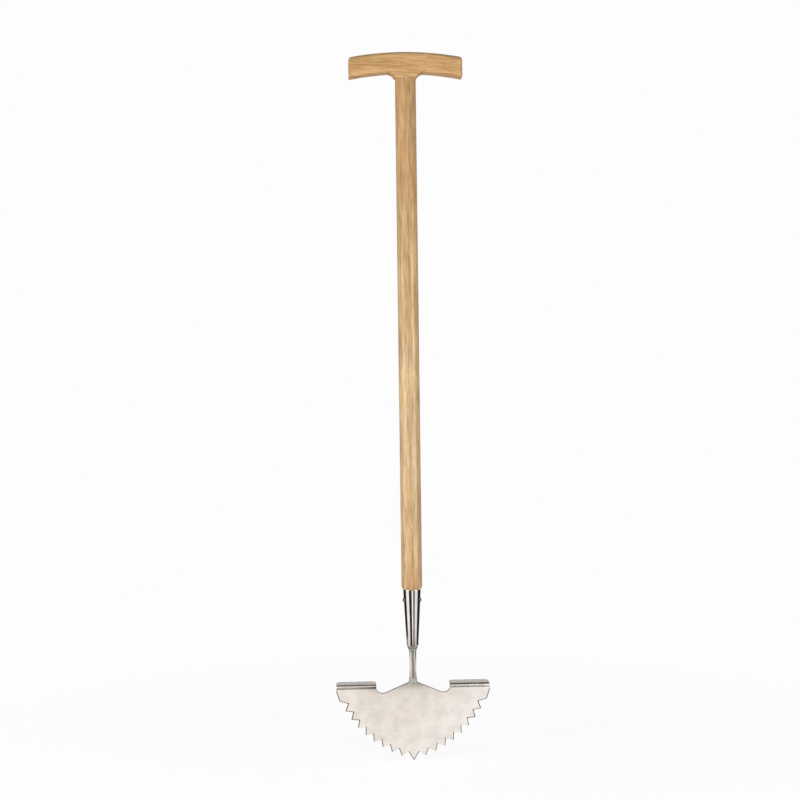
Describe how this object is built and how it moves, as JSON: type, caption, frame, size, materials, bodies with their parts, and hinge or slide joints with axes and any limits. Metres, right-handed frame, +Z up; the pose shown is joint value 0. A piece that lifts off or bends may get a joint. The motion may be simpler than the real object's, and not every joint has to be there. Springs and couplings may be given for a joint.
{
  "type": "half moon edger",
  "caption": "Half moon edger: toothed arc blade with folded foot treads, round neck welded to a tapered riveted socket, and a straight wooden shaft with an arched T-grip.",
  "frame": {"origin": "tip of the blade's middle tooth, on the shaft's axis and in the middle of the blade's thickness", "axes": "+Z up the shaft to the grip, X along the blade and the crossbar, -Y out of the blade's front face, treads folded back to +Y"},
  "size_m": [0.215, 0.042, 0.9888],
  "materials": {
    "grip_wood": "oiled ash, grain along the crossbar",
    "shaft_wood": "oiled ash, grain along the shaft",
    "polished_steel": "mirror polished stainless steel",
    "blade_steel": "satin stainless steel",
    "weld_steel": "dressed and buffed weld"
  },
  "bodies": {
    "root": {"t_grip": "grip_wood", "shaft": "shaft_wood", "socket": "polished_steel", "socket_rivet": "polished_steel", "neck": "polished_steel", "socket_weld": "weld_steel", "blade": "blade_steel", "blade_weld": "weld_steel"}
  },
  "joints": []
}
